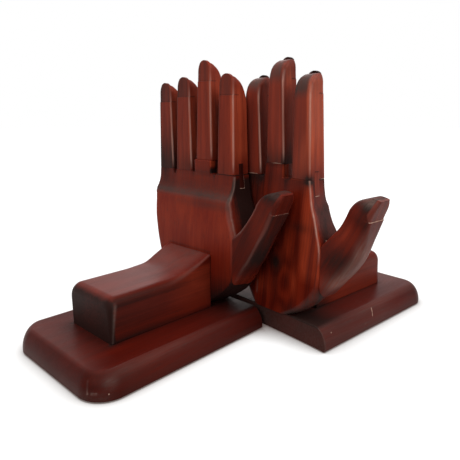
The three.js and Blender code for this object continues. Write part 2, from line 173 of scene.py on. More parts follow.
def blend(tree, share, start, end):
    """Colour that goes from start to end with share."""
    return wire(tree, "Mix", {0: share, 6: start, 7: end}, 2, data_type="RGBA")


def spread(tree, value, low, high, start=0.0, end=1.0):
    """Value taken from the range low to high to the range start to end, and held there."""
    return wire(tree, "MapRange", {0: value, 1: low, 2: high, 3: start, 4: end})


def scaled(tree, vector, scale):
    """Vector or colour times a factor for each of its three parts."""
    return wire(tree, "VectorMath", {0: vector, 1: scale}, operation="MULTIPLY")


def cloudy(tree, vector, scale, detail=2.0, rough=0.5):
    """Soft noise from 0 to 1, stretched by a scale for each axis."""
    inputs = {"Vector": scaled(tree, vector, scale), "Scale": 1.0, "Detail": detail, "Roughness": rough}
    return wire(tree, "TexNoise", inputs, "Fac")


def coat(tree, surface, colour, rough, height, strength, drop):
    """Joins a colour, a roughness and a bump of some height to a surface."""
    bump = wire(tree, "Bump", {"Strength": strength, "Distance": drop, "Height": height})
    for key, socket in (("Base Color", colour), ("Roughness", rough), ("Normal", bump)):
        tree.links.new(socket, surface.inputs[key])


def shaded(name):
    """A new material with its node tree and its surface."""
    material = bpy.data.materials.new(name)
    material.use_nodes = True
    return material, material.node_tree, material.node_tree.nodes["Principled BSDF"]


felt, tree, surface = shaded("felt_cloth")
place = wire(tree, "TexCoord", (), "Object")
fibre = cloudy(tree, place, (900, 900, 900), 4.0, 0.7)
patch = cloudy(tree, place, (60, 60, 60))
mixed = calc(tree, "MULTIPLY_ADD", patch, 0.5, calc(tree, "MULTIPLY", fibre, 0.6), clamp=True)
colour, rough = blend(tree, mixed, FELT_DARK, FELT_LIGHT), spread(tree, fibre, 0.3, 0.7, 0.85, 1.0)
coat(tree, surface, colour, rough, fibre, 0.5, 0.0003)
surface.inputs["Specular IOR Level"].default_value = 0.1

for side in SIDES:
    inset = np.full(4, FELT_INSET)
    rings = board_rings(inset, inset, inset, np.linspace(0, FELT_THICKNESS, 4), FELT_INSET)
    points, faces, _ = loft(rings, 30)
    cloth = add_piece(side, "felt_sheet", "felt_pad", "felt", points, faces, felt)
    size = ((BOARD_LENGTH - 2 * FELT_INSET) / 1000, (BOARD_WIDTH - 2 * FELT_INSET) / 1000)


# Base boards. A thick board of red-stained hardwood lies under each hand, sawn square at the book end, its
# far corners turned to a wide radius, its sides and far end planed to a bowed slope. The grain runs back.
ARM_MIDDLES = hands(3.5, -2.1)
BOARD_SLOPES = (10.0, 5.8, 8.4)
BOARD_BOW = np.radians(78)
BOARD_LIP = np.array([0.0, 0.4, 1.0])
BOARD_LIP_DROP = np.array([0.10, 0.03, 0.0])
SAWN_BOW = hands(0.0, 2.4)
BOARD_TAPER = hands(2.4, 0.0)
BOARD_SHORT = hands(0.0, 1.2)
BOARD_FOOT_ROUND = 0.6
BOARD_LIGHT = (0.087, 0.0066, 0.0031, 1)
BOARD_DARK = (0.050, 0.0037, 0.0020, 1)
# Depth from which a painted grey sheen lies on each board's top.
BOARD_SHEEN_FROM = hands(134, 118)
# Painted shade on the board tops: under the thumb side of each heel, and on the right board near its
# sawn end, where the left bookend stands close.
BOARD_SHADE_BLOTS = hands(
    ((0.5, (7, -42, BOARD_TOP), (10, 14, 3)),),
    ((0.75, (4, -40, BOARD_TOP), (20, 18, 3)), (0.5, (7, 35, BOARD_TOP), (10, 12, 3))))
BOARD_CHIPS = hands(
    ((0.6, (153.2, -58.9, 6.2), (0.9, 2.0, 0.8)),),
    ((0.62, (57.6, -60.9, 6.7), (0.9, 2.5, 0.8)), (0.6, (12.0, -58.5, 13.0), (0.9, 3.0, 0.9))))
# Tones the attributes lead to. The burnt tone is dark staining and painted shade; the worn tone is rubbed
# lacquer and painted edge highlights; the grey tone is a painted sheen; the lift brightens paler wood and
# painted light. The sheen tint colours the lacquer's real reflection.
BURNT_AND_SHADE = (0.018, 0.006, 0.005, 1)
WORN_AND_HIGHLIGHT = (0.60, 0.30, 0.23, 1)
PAINTED_SHEEN = (0.30, 0.235, 0.21, 1)
BARE = (0.45, 0.28, 0.21, 1)
SHEEN = (1.0, 0.80, 0.68, 1)
LIFT = (2.0, 2.8, 2.6)


def stained_wood(name, light, dark, ring=0.006, figure=0.6, streaks=0.6, rough=0.34, gloss=0.12):
    """Stained and lacquered wood. Growth rings are a sine of the distance from the grain's axis, pushed about
    by noise; streaks and pores are noise drawn out along the grain. Of the points' attributes, the first
    darkens to a burnt tone, for dark staining and for painted shade; the second brings up rubbed lacquer,
    painted highlights and a painted grey sheen; chip shows bare wood; and the last lifts the colour, for
    paler wood and for painted light."""
    material, tree, surface = shaded(name)
    grain = wire(tree, "Attribute", (), "Vector", attribute_name="grain")
    stain, rub, chip, twist, bright = (
        wire(tree, "Attribute", (), "Fac", attribute_name=key)
        for key in ("stain", "rub", "chip", "twist", "bright"))
    reach = wire(tree, "VectorMath", {0: scaled(tree, grain, (1, 1, 0))}, "Value", operation="LENGTH")
    sway = cloudy(tree, grain, (45, 45, 7))
    streak = cloudy(tree, grain, (620, 620, 9), 4.0, 0.65)
    hair = cloudy(tree, grain, (1900, 1900, 40))
    tone = cloudy(tree, grain, (38, 38, 12), 3.0, 0.55)
    speck = cloudy(tree, grain, (700, 700, 700))
    phase = calc(tree, "MULTIPLY_ADD", reach, 1 / ring, calc(tree, "MULTIPLY_ADD", sway, 2.6, twist))
    wave = calc(tree, "SINE", calc(tree, "MULTIPLY", phase, 2 * np.pi))
    line = calc(tree, "MULTIPLY_ADD", streak, 2.4 * streaks, -1.2 * streaks)
    wide = calc(tree, "MULTIPLY_ADD", tone, 1.1, -0.05)
    share = calc(tree, "MULTIPLY_ADD", wave, 0.5 * figure, calc(tree, "ADD", line, wide), clamp=True)
    colour = blend(tree, share, light, dark)
    colour = blend(tree, bright, colour, scaled(tree, colour, LIFT))
    pore = spread(tree, hair, 0.60, 0.72)
    colour = blend(tree, calc(tree, "MULTIPLY", pore, 0.42), colour, BURNT_AND_SHADE)
    coarse = calc(tree, "ADD", tone, streak)
    # Darkening to the burnt tone, for dark staining and for painted shade.
    stain_and_shade_share = calc(tree, "MULTIPLY", stain, spread(tree, coarse, 0.6, 1.35, 0.62, 1.15), clamp=True)
    colour = blend(tree, stain_and_shade_share, colour, BURNT_AND_SHADE)
    # Rubbed lacquer and painted highlights, and a painted grey sheen where faint.
    thin = calc(tree, "MULTIPLY", rub, spread(tree, streak, 0.35, 0.7, 0.45, 1.0), clamp=True)
    colour = blend(tree, thin, colour, blend(tree, rub, PAINTED_SHEEN, WORN_AND_HIGHLIGHT))
    flake = spread(tree, calc(tree, "MULTIPLY_ADD", speck, 0.5, chip), 0.62, 0.74)
    colour = blend(tree, flake, colour, BARE)
    shine = spread(tree, coarse, 0.7, 1.3, rough - 0.05, rough + 0.06)
    dull = calc(tree, "MULTIPLY_ADD", stain, 0.2, calc(tree, "MULTIPLY_ADD", rub, 0.12, shine), clamp=True)
    surface.inputs["Specular IOR Level"].default_value = gloss
    surface.inputs["Specular Tint"].default_value = SHEEN
    sunk = calc(tree, "MULTIPLY_ADD", chip, 1.5, pore)
    height = calc(tree, "SUBTRACT", calc(tree, "MULTIPLY", streak, 0.5), sunk)
    coat(tree, surface, colour, dull, height, 0.18, 0.0004)
    return material


def ramp(value, start, stop):
    """0 at start, 1 at stop, even between them and held beyond them."""
    return np.clip((value - start) / (stop - start), 0, 1)


def bell(value, middle, width):
    """Soft band of 1 at the middle that fades out over a width."""
    return np.exp(-((value - middle) / width) ** 2)


def near(points, spot, size):
    """Soft blot of 1 at a spot that fades out over a size for each axis."""
    return np.exp(-(((points[:, :3] - spot) / size) ** 2).sum(1))


def blots(points, table):
    """Sum of soft blots, each given by its strength, spot and size."""
    return sum(strength * near(points, spot, size) for strength, spot, size in table)


def scratch(points, start, stop, width):
    """Soft line of 1 between two spots that fades out over a width."""
    run = np.subtract(stop, start)
    share = np.clip((points[:, :3] - start) @ run / (run @ run), 0, 1)
    away = points[:, :3] - start - share[:, None] * run
    return np.exp(-(away ** 2).sum(1) / width ** 2)


board_wood = stained_wood(
    "board_wood", BOARD_LIGHT, BOARD_DARK, ring=0.011, figure=0.25, streaks=0.4, rough=0.32, gloss=0.06)
foot = np.linspace(0, np.pi / 2, 5)
bow = np.linspace(0, BOARD_BOW, 26)[1:]
inwards = (1 - np.cos(bow)) / (1 - np.cos(BOARD_BOW))
curb = FELT_THICKNESS + BOARD_FOOT_ROUND
rise = curb + (BOARD_TOP - curb) * np.sin(bow) / np.sin(BOARD_BOW)
foot_in = BOARD_FOOT_ROUND * (1 - np.sin(foot))
heights = np.r_[curb - BOARD_FOOT_ROUND * np.cos(foot), rise[:-1], BOARD_TOP - BOARD_LIP_DROP]
for side in SIDES:
    thumb_in, outer_in, end_in = (
        np.r_[foot_in, slope * inwards[:-1], slope + BOARD_LIP] for slope in BOARD_SLOPES)
    end_in = end_in + BOARD_SHORT[side]
    rings = board_rings(thumb_in, outer_in, end_in, heights, 0.0, SAWN_BOW[side], BOARD_TAPER[side])
    points, faces, _ = loft(rings, 24)
    depth, across, up = points[:, :3].T
    grain = across + 90, up + 60 + 0.04 * depth, depth + 30 * (side == "right")
    flank = ramp(up, BOARD_TOP, BOARD_TOP - 1.5)
    upper = 1 - flank
    sawn = depth < BOARD_SETBACK + 0.02
    rim = ramp(up, 14.5, 16.5) * (up < BOARD_TOP - 0.05) * (across < -45)
    beside_arm = np.abs(across - ARM_MIDDLES[side])
    shadow = bell(beside_arm, 27, 2) * (depth < 131)
    # Painted shade on the top near the book face, in blots under the heels and in a band beside the
    # forearm; the far part of the slopes darker; the sawn end darker.
    stain = (0.5 * bell(depth, 15, 30) + 0.6 * shadow + blots(points, BOARD_SHADE_BLOTS[side])) * upper
    stain += 0.4 * flank * ramp(depth, 115, 145) + 0.4 * sawn
    # Painted highlight along the upper slope on the thumb side, a faint painted sheen on the sawn end,
    # a painted reflection of the floor low on the far end, and a painted grey sheen on the far top.
    rub = 0.07 * rim * ramp(depth, 152, 142) * ramp(depth, 30, 90) + 0.05 * sawn
    rub += 0.09 * ramp(up, 10, 4) * ramp(depth, 146, 156)
    pale = ramp(depth, BOARD_SHEEN_FROM[side], BOARD_SHEEN_FROM[side] + 25)
    rub += 0.07 * upper * pale * np.clip((across + 48) / 16, 0.2, 1)
    chip = blots(points, BOARD_CHIPS[side])
    if side == "left":
        # Painted shade where the forearm's end darkens the board, and the top short of it a little darker;
        # a painted sheen on the far slope; real scratches and a rubbed patch low on the far end.
        behind_arm = bell(depth, 131, 11) * ramp(beside_arm, 36, 28)
        stain += (0.6 * behind_arm + 0.15 * ramp(depth, 120, 100)) * upper
        rub += 0.03 * flank * ramp(depth, 150, 138)
        rub += 0.5 * scratch(points, (160.4, -46.6, 13.4), (163.0, -48.9, 6.2), 0.6)
        rub += 0.35 * scratch(points, (161.5, -51.3, 6.6), (159.5, -53.9, 6.9), 0.6)
        rub += 0.16 * near(points, (151.3, -57.8, 12.8), (5, 5, 4))
    else:
        # Painted shade on the sawn end in the gap between the two boards; painted sheen on the slopes and
        # the top nearer the book face; a real scratch.
        stain += 0.6 * sawn * near(points, (BOARD_SETBACK, 12, 10), (3, 18, 12))
        rub += 0.08 * flank * ramp(depth, 115, 85) + 0.03 * upper * ramp(depth, 135, 105)
        chip += 0.68 * scratch(points, (72.5, -55.6, 16.2), (69.2, -59.6, 10.4), 0.55)
    add_piece(side, "rounded_board", "base_plate", "wood", points, faces, board_wood, 24,
              grain=grain, stain=stain, rub=rub, chip=chip)


# Base screws. Three countersunk steel screws come up through each board from the felt's side, one into the
# palm and two into the forearm. Nothing of them shows when the bookends stand.
STEEL_LIGHT = (0.52, 0.51, 0.49, 1)
STEEL_DARK = (0.30, 0.29, 0.28, 1)
steel, tree, surface = shaded("turned_steel")
place = wire(tree, "TexCoord", (), "Object")
turning = cloudy(tree, place, (300, 300, 4000))
tree.links.new(blend(tree, turning, STEEL_DARK, STEEL_LIGHT), surface.inputs["Base Color"])
tree.links.new(spread(tree, turning, 0.3, 0.7, 0.28, 0.45), surface.inputs["Roughness"])
surface.inputs["Metallic"].default_value = 1.0


def finish_nodes(kind, places, material):
    """Gives the hidden fasteners of both bookends their material."""
    for node in [bpy.data.objects[f"{side}_{kind}_{place}"] for side in SIDES for place in places]:
        node.data.materials.clear()
        node.data.materials.append(material)


finish_nodes("base_screw", ("front", "middle", "rear"), steel)


# Forearms. A squared block of the same wood lies behind each palm, glued to the board and dowelled to the
# palm. Its top sweeps up to the wrist in one hollow curve, and its free end and long edges are rounded over.
WRIST = 30.2
WRIST_LIP, WRIST_LIP_RUN = 0.9, 1.3
ARM_ENDS = hands(128.8, 127.4)
ARM_TOPS = hands(53.0, 52.0)
ARM_END_ROUNDS = hands((7.5, 8.0), (9.0, 13.0))
ARM_HALVES = hands((28.0, 28.4), (27.0, 27.0))
ARM_CORNERS = (1.4, 5.6, 1.6)
ARM_RISE, ARM_SWEEP, ARM_POWER = 13.2, 46.0, 1.7
ARM_HOLLOW = (1.7, 58.0, 9.0)
ARM_FOOT, ARM_BROW, ARM_EDGE = 0.8, 2.0, 6.5
ARM_LIGHT = (0.150, 0.013, 0.006, 1)
ARM_DARK = (0.075, 0.0062, 0.003, 1)
ARM_SHADED = (32, -29, 19)


def outline(*corners):
    """Outlines with four corners, one for each row, from the two coordinates of each corner."""
    return np.stack([np.stack(np.broadcast_arrays(*pair), -1) for pair in corners], 1)


def rounded(corners, radii, along, arc=9):
    """Rings from outlines with four corners. Each corner is a circular arc, a rational quadratic weighted by
    the sine of half its angle, and each side after it has evenly spaced points. The last channel is 1 in the
    middle of an arc and 0 on the sides."""
    to_last, to_next = np.roll(corners, 1, 1) - corners, np.roll(corners, -1, 1) - corners
    to_last /= np.linalg.norm(to_last, axis=-1, keepdims=True)
    to_next /= np.linalg.norm(to_next, axis=-1, keepdims=True)
    half = np.arccos(np.clip((to_last * to_next).sum(-1), -1, 1)) / 2
    reach = (radii / np.tan(half))[..., None]
    start, end = corners + to_last * reach, corners + to_next * reach
    t = np.linspace(0, 1, arc)[:, None]
    weight = np.sin(half)[..., None, None]
    parts = (1 - t) ** 2, 2 * weight * t * (1 - t), t ** 2
    bend = parts[0] * start[:, :, None] + parts[1] * corners[:, :, None] + parts[2] * end[:, :, None]
    bend /= sum(parts)
    rows = []
    for i, count in enumerate(along):
        share = (np.arange(1, count + 1) / (count + 1))[:, None]
        side = end[:, i, None] + share * (start[:, (i + 1) % 4] - end[:, i])[:, None]
        # The channel of the arc's middle, which also places the painted edge highlights.
        edge_band = np.sin(np.pi * t) + 0 * bend[:, i, :, :1]
        rows += [np.concatenate([bend[:, i], edge_band], -1), np.concatenate([side, 0 * side[..., :1]], -1)]
    return np.concatenate(rows, 1)


arm_wood = stained_wood(
    "arm_wood", ARM_LIGHT, ARM_DARK, ring=0.012, figure=0.25, streaks=0.45, rough=0.32, gloss=0.08)
for side in SIDES:
    middle, end = ARM_MIDDLES[side], ARM_ENDS[side]
    end_round, end_drop = ARM_END_ROUNDS[side]
    last = end - end_round
    run = np.r_[
        WRIST + 0.05 + 1.2 * (1 - np.cos(np.linspace(0, np.pi / 2, 6))), np.linspace(WRIST + 2, last, 90),
        last + end_round * np.sin(np.linspace(0, np.pi / 2 * 0.98, 30)[1:])]
    lip = WRIST_LIP * ramp(run, WRIST + WRIST_LIP_RUN, WRIST) ** 2
    reach = np.array([end_round, *ARM_CORNERS])
    over = ramp(run[:, None], end - reach, end)
    drop, near_low, near_high, far = (np.array([end_drop, *ARM_CORNERS]) * (1 - np.sqrt(1 - over ** 2))).T
    near_side = middle - ARM_HALVES[side][0] + 0.4 * lip
    far_side = middle + ARM_HALVES[side][1] - far - 0.4 * lip
    top = ARM_TOPS[side] + ARM_RISE * ramp(run, WRIST + ARM_SWEEP, WRIST) ** ARM_POWER - drop - lip
    far_top = top - ARM_HOLLOW[0] * bell(run, *ARM_HOLLOW[1:])
    corners = outline((near_side + near_low, BOARD_TOP), (far_side, BOARD_TOP), (far_side, far_top),
                      (near_side + near_high, top))
    foot = np.full(len(run), ARM_FOOT)
    brow = ARM_BROW + (ARM_EDGE - ARM_BROW) * ramp(run, WRIST + 6, WRIST + 51)
    rings = rounded(corners, np.stack([foot, foot, brow, brow], 1), (44, 30, 44, 30), 11)
    rings = np.concatenate([np.broadcast_to(run[:, None, None], rings[..., :1].shape), rings], -1)
    points, faces, _ = loft(rings, 24)
    depth, across, up, edge = points.T
    grain = across + 70, up + 35, depth + 55 * (side == "right")
    wall = ramp(up, 60, 52) * ramp(np.abs(across - middle), 24, 26.5)
    butt = ramp(depth, end - 4, end - 1)
    # The walls darker towards the far end, partly painted shade; the free end darker; a painted shade
    # line along the foot on the board, and a darker line at the wrist joint.
    stain = (0.06 + 0.44 * ramp(depth, 50, 95)) * wall + 1.1 * butt
    stain += 0.5 * bell(up, BOARD_TOP, 3) + 0.8 * bell(depth, WRIST, 1)
    if side == "left":
        # Painted light on the near wall towards the wrist; darker on the top next to the palm; painted
        # shade on the near rounding by the wrist and along the near edge of the top further back; a chip.
        lit = 1.4 * ramp(depth, 80, 40) * ramp(up, 20, 46)
        stain += 0.3 * near(points, (33, -8, 64), (8, 14, 5))
        stain += 0.35 * edge * (up > 30) * ramp(depth, 66, 54) * ramp(depth, 42, 50)
        stain += 0.3 * ramp(across, middle - 17, middle - 23) * (up > 45) * ramp(depth, 55, 70)
        chip = 0.8 * near(points, (31.6, -23.1, 62.9), (1.2, 1.2, 1.4))
    else:
        # Less painted light on the walls, and painted shade low on the near side by the heel.
        lit = 0.65
        stain = 0.5 * stain + 1.1 * near(points, ARM_SHADED, (18, 4, 8))
        chip = 0 * up
    # Painted light on the walls, less on their roundings and none in the shaded spot.
    bright = lit * wall * (1 - 0.5 * edge) * (1 - near(points, ARM_SHADED, (15, 4, 8)))
    # Painted highlights along the edges by the wrist and as a glint up the near end corner, and a
    # painted grey sheen on the top.
    ridge = np.interp(up, (BOARD_TOP, 49), (end - 0.9, end - 4.9))
    glint = bell(depth, ridge, np.interp(up, (24, 48), (0.6, 1.3))) * (across < middle - 24)
    upper = ramp(across, middle + 26, middle + 23) * ramp(across, middle - 24, middle - 16)
    rub = 0.10 * edge ** 2 * (up > 24) * ramp(depth, 75, 45)
    rub += glint * np.interp(up, (20, 32, 46, 50), (0.12, 0.22, 0.30, 0.0))
    rub += upper * (up > 30) * (1 - butt) * (0.05 + 0.06 * ramp(depth, 62, 50))
    add_piece(side, "swept_forearm", "forearm", "wood", points, faces, arm_wood,
              grain=grain, stain=stain, rub=rub, chip=chip, bright=bright)


# Wrist dowels. Two plain beech dowels lie inside each wrist, half in the palm and half in the forearm, and
# hold the two blocks while the glue sets. They never show.
DOWEL_LIGHT = (0.62, 0.42, 0.24, 1)
DOWEL_DARK = (0.46, 0.28, 0.15, 1)


def plain_wood(name, light, dark, stretch):
    """Pale wood with fine streaks along one axis, on Object coordinates."""
    material, tree, surface = shaded(name)
    place = wire(tree, "TexCoord", (), "Object")
    streak = cloudy(tree, place, stretch, 4.0, 0.6)
    rough = spread(tree, streak, 0.3, 0.7, 0.55, 0.7)
    coat(tree, surface, blend(tree, streak, dark, light), rough, streak, 0.2, 0.0003)
    return material


wrist_wood = plain_wood("wrist_dowel_wood", DOWEL_LIGHT, DOWEL_DARK, (25, 700, 700))
finish_nodes("wrist_dowel", ("inner", "outer"), wrist_wood)


# Palms. Each palm is one upright board, flat on the book face, its back carved down above a crease to the
# finger roots, its heel drawn in to the board below, and a short stub left standing for the middle finger.
ROOT = 132.0
# height, then the thumb and outer edges of the face and of the back
PALM_ROWS = np.array([
    (18.5, -21, 24, -15, 16), (27, -38.2, 29.7, -28, 20.9), (36, -49.6, 34.8, -40, 27.5),
    (45, -51.9, 40.4, -48, 36.1), (54, -51.9, 44.3, -51.3, 42.9), (66, -51.9, 47.2, -52.1, 46.8),
    (81, -51.9, 50.3, -51.8, 50), (90, -50.8, 52.3, -49.0, 51.9), (101, -48.2, 54.6, -44.2, 54.3),
    (112, -44.6, 55.9, -41.2, 55.9), (122, -42.4, 55.4, -40.5, 55.3), (132, -40, 54.8, -39.9, 54.7)])
PALM_BACK = np.array([
    (18.5, 30.2), (66, 30.2), (81, 29.6), (95, 28.2), (104, 27.0), (108.5, 26.3), (110.6, 25.6),
    (112.6, 24.1), (115.5, 22.0), (119, 20.3), (124, 19.0), (132, 18.5)])
PALM_TRIMS = hands(
    ((36, 60, 80, 98, 113, 132), (0, 2, 2.2, 3.1, 1.8, 0)), ((84, 97, 108, 122), (0, 1.9, 1.6, 0)))
PALM_FACE_TRIM = ((78, 92, 118, 132), (0, 1.6, 1.4, 0.3))
PALM_FACE_FILL = ((18.5, 27, 36), (2.0, 0.8, 0))
PALM_REAR_FILL = ((18.5, 27, 36, 45), (8.0, 5.0, 2.0, 0))
PALM_SPREADS = hands((0.0, 0.9), (0.4, 0.0))
PALM_FACE_ROUND, PALM_HEEL_ROUND, PALM_ROOT_ROUND = 2.0, 10.0, 1.7
PALM_BACK_ROUNDS = ((90, 104, 109, 114, 130), (3.6, 6.4, 6.4, 2.4, PALM_ROOT_ROUND))
PALM_BEVELS = hands(4.0, 3.6)
PALM_COLUMNS, PALM_SIDE, PALM_ARC = 150, 22, 9
# middle at root and tip, width at root and tip, top, seam
FINGERS = hands(
    {"index": (-30, -28.4, 19.2, 16.2, 211, ROOT), "middle": (-4.4, -3, 20.2, 15.4, 222.6, 142.2),
     "ring": (21.4, 23.6, 20.8, 16.2, 210.8, ROOT), "little": (45.6, 48.4, 19.4, 15.4, 207, ROOT)},
    {"index": (-31, -29.4, 18.6, 15.8, 211, ROOT), "middle": (-4.6, -3.2, 20, 15.2, 222.6, 142.2),
     "ring": (20.5, 22.7, 20.4, 15.6, 210.8, ROOT), "little": (46.2, 54, 19, 14.8, 202.5, ROOT)})
CROTCH_DROPS = np.array([1.4, 1.4, 4.0])
CROTCH_PLACES = (-17, 8.8, 33.8)
STUB_MIDDLE, STUB_WIDTH, STUB_BACK, STUB_TOP = -3.4, 20.2, 19.7, 142.2
STUB_ROUND, STUB_LIP = 1.6, 0.5
PALM_LIGHT = hands((0.250, 0.025, 0.009, 1), (0.215, 0.018, 0.006, 1))
PALM_DARK = hands((0.145, 0.0085, 0.0035, 1), (0.078, 0.0055, 0.0028, 1))
PALM_FIGURES = hands((0.021, 0.26, 0.62, 0.34, 0.08), (0.0095, 0.6, 0.6))
PALM_TWISTS = ((1.6, (0, -17, 48), (14, 9, 20)), (-1.3, (0, -8, 63), (14, 8, 14)))
# Dark blots: the right palm's knot and dark blotches, the knot also painted shade where the left
# thumb shades it, and painted shade at the right heel.
PALM_STAIN_AND_SHADE_BLOTS = hands(
    ((0.5, (18, 49, 129), (6, 9, 8)),),
    ((1.2, (0, -8, 62.5), (8, 6.5, 8)), (0.45, (0, -8, 44), (5, 5, 12)), (0.5, (0, -32, 95), (4, 11, 4)),
     (0.4, (0, -21, 50), (4, 3, 9)), (0.85, (0, -39, 130.5), (5, 5, 2.6)),
     (0.5, (2, -24, 22), (10, 12, 7)), (0.25, (0, -8, 104), (5, 14, 20))))
# Lighter blots on the right palm: thin pale streaks of its figure, and painted light on parts of
# its face that lie in shade.
PALM_PALE_AND_LIT_BLOTS = hands(
    (),
    ((0.5, (0, -45, 107), (4, 4, 8)), (0.95, (0, -28, 49), (5, 2.4, 13)), (0.5, (0, -15, 80), (4, 10, 16)),
     (0.7, (0, 8, 40), (4, 8, 10)), (0.9, (0, 1.2, 42), (5, 1.8, 9)), (0.7, (0, 6.8, 41), (5, 2.2, 7))))


def through(stations, values, at):
    """Smooth curve through values: a cubic between neighbours, its slope at each that of the line from the
    one before to the one after."""
    slope = np.gradient(values, stations, axis=0)
    slope[1:-1] = ((values[2:] - values[:-2]).T / (stations[2:] - stations[:-2])).T
    i = np.clip(np.searchsorted(stations, at, side="right") - 1, 0, len(stations) - 2)
    gap = (stations[i + 1] - stations[i])[:, None]
    t = (at - stations[i])[:, None] / gap
    return ((1 + 2 * t) * (1 - t) ** 2 * values[i] + t * (1 - t) ** 2 * gap * slope[i]
            + t ** 2 * (3 - 2 * t) * values[i + 1] - t ** 2 * (1 - t) * gap * slope[i + 1])


def lifted(rings, level):
    """Rings of depth and across, each set at its height, with the edge channel last."""
    return np.insert(rings, 2, np.broadcast_to(level[:, None], rings.shape[:2]), -1)


def palm_edges(side, level):
    """Depth of the back and the four edges of a palm at each height. On the thumb side the left hand is cut
    further in at the back, and the right hand at the face, while the right heel is left fuller."""
    back = through(PALM_BACK[:, 0], PALM_BACK[:, 1:], level)[:, 0]
    face_thumb, face_outer, rear_thumb, rear_outer = through(PALM_ROWS[:, 0], PALM_ROWS[:, 1:], level).T
    rear_thumb = rear_thumb + np.interp(level, *PALM_TRIMS[side])
    if side == "right":
        face_thumb = face_thumb + np.interp(level, *PALM_FACE_TRIM) - np.interp(level, *PALM_FACE_FILL)
        rear_thumb = rear_thumb - np.interp(level, *PALM_REAR_FILL)
    thumb_out = PALM_SPREADS[side][0] * ramp(level, 88, 110)
    little_out = PALM_SPREADS[side][1] * ramp(level, 30, 50)
    return (back, face_thumb - thumb_out, face_outer + little_out,
            rear_thumb - thumb_out, rear_outer + little_out)


def palm_bevel(side, level):
    """Radius of the rounded back edge on the thumb side: wide along the palm, narrow at the roots."""
    wide = PALM_BEVELS[side]
    return np.interp(level, (40, 62, 104, 111, 117, 130), (3.0, wide, wide, 3.0, 1.8, PALM_ROOT_ROUND))


def palm_skin(side):
    """Rings at rising heights, each with straight book face, arcs and straight back. The last rows follow the
    hollows between the finger roots. The top is ruled from face to back, with one face at each end."""
    level = np.unique(np.r_[
        np.linspace(PALM_ROWS[0, 0], 104, 80), np.linspace(104, 117, 27), np.linspace(117, ROOT, 20)])
    back, face_thumb, face_outer, rear_thumb, rear_outer = palm_edges(side, level)
    corners = outline((0.0, face_thumb), (0.0, face_outer), (back, rear_outer), (back, rear_thumb))
    front = np.interp(level, (36, 58), (PALM_HEEL_ROUND, PALM_FACE_ROUND))
    rear = np.interp(level, *PALM_BACK_ROUNDS)
    radii = np.stack([front, front, rear, palm_bevel(side, level)], 1)
    rings = lifted(rounded(corners, radii, (PALM_COLUMNS, PALM_SIDE) * 2, PALM_ARC), level)
    roots = np.array([(values[0], values[2]) for values in FINGERS[side].values()])
    roots[1] = STUB_MIDDLE, STUB_WIDTH
    low, high = roots[:-1, 0] + roots[:-1, 1] / 2, roots[1:, 0] - roots[1:, 1] / 2
    hollow = np.sqrt(np.clip(1 - ((rings[..., 1, None] - (low + high) / 2) / (high - low) * 2) ** 2, 0, 1))
    rings[..., 2] -= (hollow * CROTCH_DROPS).sum(-1) * ramp(rings[..., 2], ROOT - 9, ROOT)
    points, faces, index = loft(rings, 10, top=False)
    ring = index[-1]
    rear_start = 3 * PALM_ARC + PALM_COLUMNS + PALM_SIDE
    rear_stop = rear_start + PALM_COLUMNS
    face, rear = ring[PALM_ARC:PALM_ARC + PALM_COLUMNS], ring[rear_start:rear_stop][::-1]
    share = np.linspace(0, 1, 9)[1:-1][:, None, None]
    inner = points[face] + share * (points[rear] - points[face])
    filled = len(points) + np.arange(inner[..., 0].size).reshape(inner.shape[:2])
    grid = np.concatenate([face[None], filled, rear[None]])
    lid = np.stack([grid[:-1, :-1], grid[:-1, 1:], grid[1:, 1:], grid[1:, :-1]], -1).reshape(-1, 4)
    thumb_end = np.r_[ring[rear_stop - 1:], ring[:PALM_ARC + 1], filled[:, 0]]
    outer_end = np.r_[ring[PALM_ARC + PALM_COLUMNS - 1:rear_start + 1], filled[::-1, -1]]
    points = np.concatenate([points, inner.reshape(-1, points.shape[1])])
    return points, faces + [lid, thumb_end[None], outer_end[None]]


def stub_skin():
    """Rings from inside the palm up to the middle finger's seam, rounded at their upright edges."""
    level = np.r_[ROOT - 5, ROOT - 0.7, np.linspace(ROOT, STUB_TOP - STUB_LIP, 16),
                  STUB_TOP - STUB_LIP * (1 - np.sin([0.5, 1, 1.57]))]
    shy = STUB_LIP * (1 - np.sqrt(1 - ramp(level, STUB_TOP - STUB_LIP, STUB_TOP) ** 2))
    wide = STUB_WIDTH / 2 - shy
    deep = STUB_BACK - shy - 1.3 * ramp(level, ROOT + 1.5, ROOT - 2.5)
    face = shy + 1.5 * ramp(level, ROOT, ROOT - 0.6)
    low, high = STUB_MIDDLE - wide, STUB_MIDDLE + wide
    corners = outline((face, low), (face, high), (deep, high), (deep, low))
    return loft(lifted(rounded(corners, np.full(corners.shape[:2], STUB_ROUND), (22, 18, 22, 18)), level), 8)


